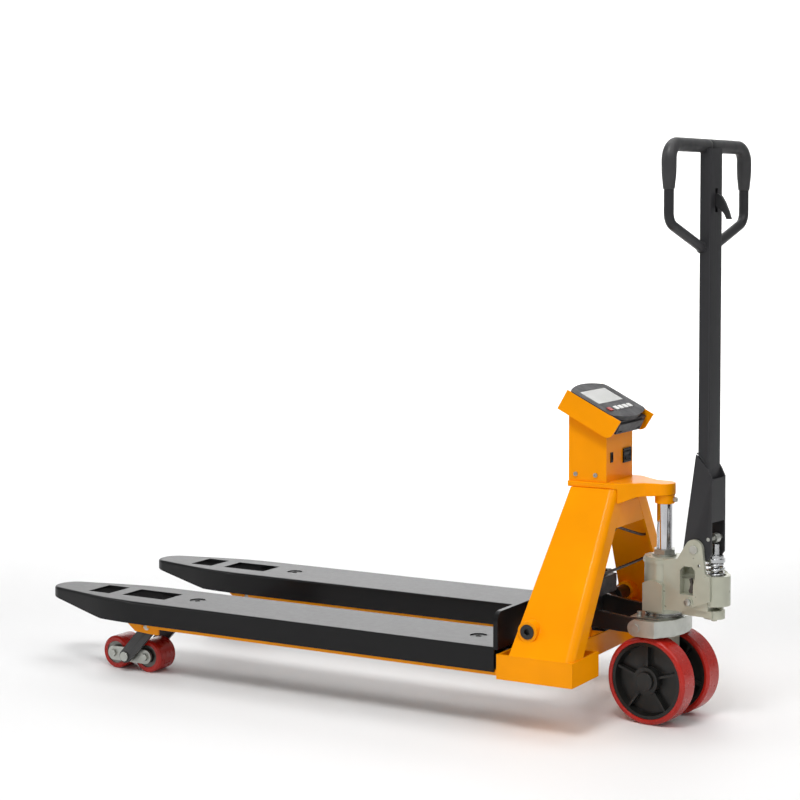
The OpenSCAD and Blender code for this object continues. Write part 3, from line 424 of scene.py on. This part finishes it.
SHELL_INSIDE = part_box("load_cells")[1].z
SHELL_TOP = 173 * MM
SHELL_EDGE, SHELL_SEGMENTS, SHELL_ANGLE = 5 * MM, 4, 20
TIP_R = 44 * MM
HEEL_CLEAR = 30 * MM        # the rounding stops short of the heel plate
ROLLER_TYRE = 8.5 * MM


def edge_width(node):
    """The bevel of a node in metres, from the longest name in EDGE that starts it."""
    starts = [start for start in EDGE if node.startswith(start)]
    return EDGE[max(starts, key=len)] * MM if starts else None


def roller_inside(node):
    """A test for the faces of a roller's steel hub, inside the tyre."""
    low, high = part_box(node)
    centre, radius = (low + high) / 2, (high.z - low.z) / 2

    def inside(face):
        corners = [face.id_data.vertices[v].co for v in face.vertices]
        reach = max(math.hypot(corner.x - centre.x, corner.z - centre.z) for corner in corners)
        return reach < radius - ROLLER_TYRE
    return inside


def shell_outline(node):
    """A test for the bent edges round the top of a fork shell, where the sheet turns down."""
    low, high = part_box(node)
    middle, tip_x = (low.y + high.y) / 2, low.x + TIP_R

    def outer(edge):
        place = (edge.verts[0].co + edge.verts[1].co) / 2
        on_top = abs(place.z - SHELL_TOP) <= 0.3 * MM
        if not on_top or len(edge.link_faces) != 2 or place.x > high.x - HEEL_CLEAR:
            return False
        side = min(edge.link_faces, key=lambda face: abs(face.normal.z)).normal
        away = Vector((min(place.x - tip_x, 0), place.y - middle, 0))
        return abs(side.z) < 0.5 and side.dot(away) > 10 * MM
    return outer


for node in sorted(nodes):
    if node in OWN_SHAPE:
        continue
    width = edge_width(node)
    if node.startswith("fork_shell"):
        bevelled(node, SHELL_EDGE, SHELL_SEGMENTS, SHELL_ANGLE, chosen=shell_outline(node))
    elif width:
        piece = bevelled(node, width, material=lower_fork_paint_and_shade if node.startswith("lower_fork") else None)
        if node.startswith("roller"):
            repaint(piece, roller_hub, roller_inside(node))
        elif node == "load_cells":
            repaint(piece, finish["fork_black"], lambda face: face.center.z > SHELL_INSIDE - MM)
        elif node == "chassis_fasteners":
            repaint(piece, finish["fork_black"], lambda face: abs(face.center.z - SHELL_INSIDE) < 4 * MM)
    else:
        # the handle's loop is all round bar: the CAD node itself is shown
        nodes[node].data.materials.clear()
        nodes[node].data.materials.append(finish[slot_of[node]])


# ---------- handle ----------
LOOP_X, LOOP_HALF, BAR_Z, BEND = 94, 156, 1177, 30
GRIP_R, GRIP_LOW, GRIP_SWELL = 14.0, 1089, 0.95
TAPER, TAPER_LENGTH = 2.6, 30
LOOP_BAR_R, SIDE_LOW = 10.6, 1024
JOIN_Z, TUBE_HALF = 974, 25             # where the loop's slanting bars meet the tube
BRACKET_HALF = 25.6
BRACKET_TOP = ((88, 557), (89.5, 559), (114.5, 530))


def grip(side, name):
    """Rubber grip round a corner of the loop, with a palm swell and a tapered lower end."""
    bend_y, bend_z = LOOP_HALF - BEND, BAR_Z - BEND
    outline = [(1 + 122 * k / 10, BAR_Z) for k in range(11)]
    for k in range(15):
        a = math.radians(90 - 90 * k / 14)
        outline.append((bend_y + BEND * math.cos(a), bend_z + BEND * math.sin(a)))
    outline += [(LOOP_HALF, bend_z - (bend_z - GRIP_LOW) * k / 14) for k in range(1, 15)]
    path = [steered(LOOP_X, side * y, z) for y, z in outline]
    radii = []
    for y, z in outline:
        radius = GRIP_R
        if y > bend_y:
            down = (BAR_Z - z) / (BAR_Z - GRIP_LOW)
            radius += GRIP_SWELL * math.sin(math.pi * min(1, down * 1.25))
            radius -= TAPER * max(0.0, (GRIP_LOW + TAPER_LENGTH - z) / TAPER_LENGTH) ** 1.4
        radii.append(radius * MM)
    # broken edges: a smaller ring at each end, with the full one a little way in
    path = ([path[0], path[0].lerp(path[1], 0.12)] + path[1:-1]
            + [path[-1].lerp(path[-2], 0.25), path[-1]])
    radii = [radii[0] * 0.93] + radii + [radii[-1] * 0.9]
    return tube(name, path, radii, "handle", "grip", 36, X)


for side, where in SIDES:
    piece = grip(side, "grip_" + where)
    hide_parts("handle_grips")

for side, where in SIDES:
    lean = math.cos(math.atan2(JOIN_Z - SIDE_LOW, side * (TUBE_HALF - LOOP_HALF)))
    ring = []
    for k in range(25):
        a = 2 * math.pi * k / 24
        ring.append(steered(LOOP_X + LOOP_BAR_R * math.cos(a), side * (TUBE_HALF + 0.4),
                            JOIN_Z + LOOP_BAR_R * math.sin(a) / lean))
    weld("loop_weld_" + where, ring, 1.5 * MM)
    weld("bracket_weld_" + where, [steered(x, side * BRACKET_HALF, z) for x, z in BRACKET_TOP], 1.3 * MM)


# ---------- pump details ----------
PLUNGER_X, SPRING_R, WIRE_R, SPRING_TURNS = 118, 17, 2.4, 7
SPRING_LOW, SPRING_HIGH, STROKE = 262, 337, 38.5
COIL_LOW, COIL_HIGH = SPRING_LOW + WIRE_R + 0.3, SPRING_HIGH - WIRE_R - 0.3
COIL_STEPS = 36 * SPRING_TURNS
BOLT_X, BOLT_Z, BOLT_SEAT = 78, 256, 41.4
BOLT_HEAD = ((-1, 8), (3.4, 8), (4, 7))     # height over the casting's face, and radius


def coil(t):
    """A point of the spring's wire, from its foot at 0 to its top at 1."""
    angle = 2 * math.pi * SPRING_TURNS * t
    return steered(PLUNGER_X + SPRING_R * math.cos(angle), SPRING_R * math.sin(angle),
                   COIL_LOW + (COIL_HIGH - COIL_LOW) * t)


coils = [coil(i / COIL_STEPS) for i in range(COIL_STEPS + 1)]
spring = tube("plunger_spring_coil", coils, [WIRE_R * MM] * len(coils), "plunger", "plated", 12)
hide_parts("plunger_spring")
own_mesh(spring)

for side, where in SIDES:
    head = [steered(BOLT_X, side * (BOLT_SEAT + rise), BOLT_Z) for rise, _ in BOLT_HEAD]
    tube("casting_bolt_" + where, head, [radius * MM for _, radius in BOLT_HEAD], "steering", "zinc", 6)


# ---------- signal cables ----------
CELL_LEAD = [(-264.5, 190, 154), (-252, 186, 152), (-238, 180, 151), (-226, 176, 160), (-220, 170, 190),
             (-216, 150, 226), (-210, 122, 264), (-190, 86, 306), (-168, 58, 326), (-154, 38, 314),
             (-152, 34, 290)]
CABLE_ROUTES = {
    "cell_lead_near": [(x, -y, z) for x, y, z in CELL_LEAD],
    "cell_lead_far": CELL_LEAD,
    "indicator_lead": [(-152, 0, 290), (-150, 2, 322), (-138, 22, 356), (-122, 40, 390),
                       (-124, 34, 428), (-138, 12, 460), (-144, 4, 476)],
    "upper_cross_lead": [(-92, -74, 412), (-91, -56, 402), (-93, 0, 385), (-93, 50, 371),
                         (-91, 92, 360), (-92, 124, 357)],
    "lower_cross_lead": [(-100, -160, 308), (-98, -120, 305), (-99, 0, 303), (-98, 120, 305),
                         (-100, 160, 308)],
}
CABLE_D = 6 * MM
ASKEW = Vector((0.3, 0.2, 0.93))        # runs along none of the cables


def smooth(points, steps):
    """Points along a soft curve through the given ones."""
    route = [points[0]]
    for i in range(len(points) - 1):
        before, a, b = points[max(i - 1, 0)], points[i], points[i + 1]
        after = points[min(i + 2, len(points) - 1)]
        for s in range(1, steps + 1):
            t = s / steps
            route.append(a * (1 - t) ** 3 + 3 * (a + (b - before) / 6) * t * (1 - t) ** 2
                         + 3 * (b - (after - a) / 6) * t * t * (1 - t) + b * t ** 3)
    return route


def cable(name, points):
    route = smooth([chassis(*p) for p in points], 8)
    piece = tube(name, route, [CABLE_D / 2] * len(route), "chassis", "cable_black", 14, ASKEW)
    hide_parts("signal_cables")


for name, points in CABLE_ROUTES.items():
    cable(name, points)


# ---------- floor and light ----------
FLOOR_HALF, FLOOR_BACK = 24.0, 5.0
CURVE_R, CURVE_STEPS, WALL_TOP = 1.6, 16, 6.0


def floor():
    """A studio sweep: a floor that curves up into a wall behind the object."""
    profile = [(-FLOOR_HALF, 0.0)]
    for i in range(CURVE_STEPS + 1):
        a = math.pi / 2 * i / CURVE_STEPS
        profile.append((FLOOR_BACK + CURVE_R * math.sin(a), CURVE_R * (1 - math.cos(a))))
    profile.append((FLOOR_BACK + CURVE_R, WALL_TOP))
    bm = bmesh.new()
    rows = [[bm.verts.new((x, y, z)) for y, z in profile] for x in (-FLOOR_HALF, FLOOR_HALF)]
    for i in range(len(profile) - 1):
        bm.faces.new((rows[0][i], rows[1][i], rows[1][i + 1], rows[0][i + 1]))
    mesh = bpy.data.meshes.new("floor")
    bm.to_mesh(mesh)
    bm.free()
    mesh.shade_smooth()
    piece = bpy.data.objects.new("floor", mesh)
    scene.collection.objects.link(piece)
    s = Shader("studio_floor", 0.6, spec=0.3)
    s.colour(s.ramp(s.noise(0.4, 2), [(0.3, (0.86, 0.86, 0.86)), (0.7, (0.89, 0.89, 0.89))]))
    piece.data.materials.append(s.material)
    piece.rotation_euler[2] = math.radians(CAMERA_TURN)


def area_light(name, place, target, size, power, size_y=None):
    light = bpy.data.lights.new(name, "AREA")
    light.shape = "RECTANGLE"
    light.size = size
    light.size_y = size_y or size
    light.energy = power
    lamp = bpy.data.objects.new(name, light)
    scene.collection.objects.link(lamp)
    lamp.location = place
    lamp.rotation_euler = (Vector(target) - Vector(place)).to_track_quat("-Z", "Y").to_euler()


def studio_world(strength):
    """Soft light from all round, even near the horizon and patchy above, for metal to reflect."""
    world = bpy.data.worlds.new("studio")
    world.use_nodes = True
    sky = Nodes(world.node_tree)
    coords = sky.add("ShaderNodeTexCoord").outputs["Generated"]
    noise = sky.add("ShaderNodeTexNoise", {"Scale": 1.7, "Detail": 1.0}, {"Vector": coords})
    patches = sky.ramp(noise.outputs["Fac"], [(0.44, (0.06, 0.06, 0.06)), (0.56, (1.0, 1.0, 1.0))])
    horizon = sky.spread(sky.height(coords), 1.0, 0.0, 0.1, 0.3)
    brighter = sky.add("ShaderNodeMath", links={0: patches, 1: horizon})
    brighter.operation = "MAXIMUM"
    background = sky.tree.nodes["Background"].inputs
    sky.tree.links.new(brighter.outputs["Value"], background["Color"])
    background["Strength"].default_value = strength
    return world


floor()
scene.world = studio_world(0.58)
scene.view_settings.view_transform = "Standard"
area_light("key", (0.9, -2.5, 4.0), (0.2, 0, 0.4), 1.6, 92, 1.2)
area_light("side", (-3.4, -2.2, 2.8), (-0.2, 0, 0.3), 2.0, 34)
area_light("fill", (2.8, -1.1, 3.0), (0.3, 0, 0.4), 1.6, 24)
area_light("top", (0.2, 0.6, 3.6), (0, 0, 0), 3.2, 50, 2.0)
area_light("backdrop", (-1.6, 2.8, 4.2), (-3.2, 5.8, 2.2), 4.0, 330, 2.0)
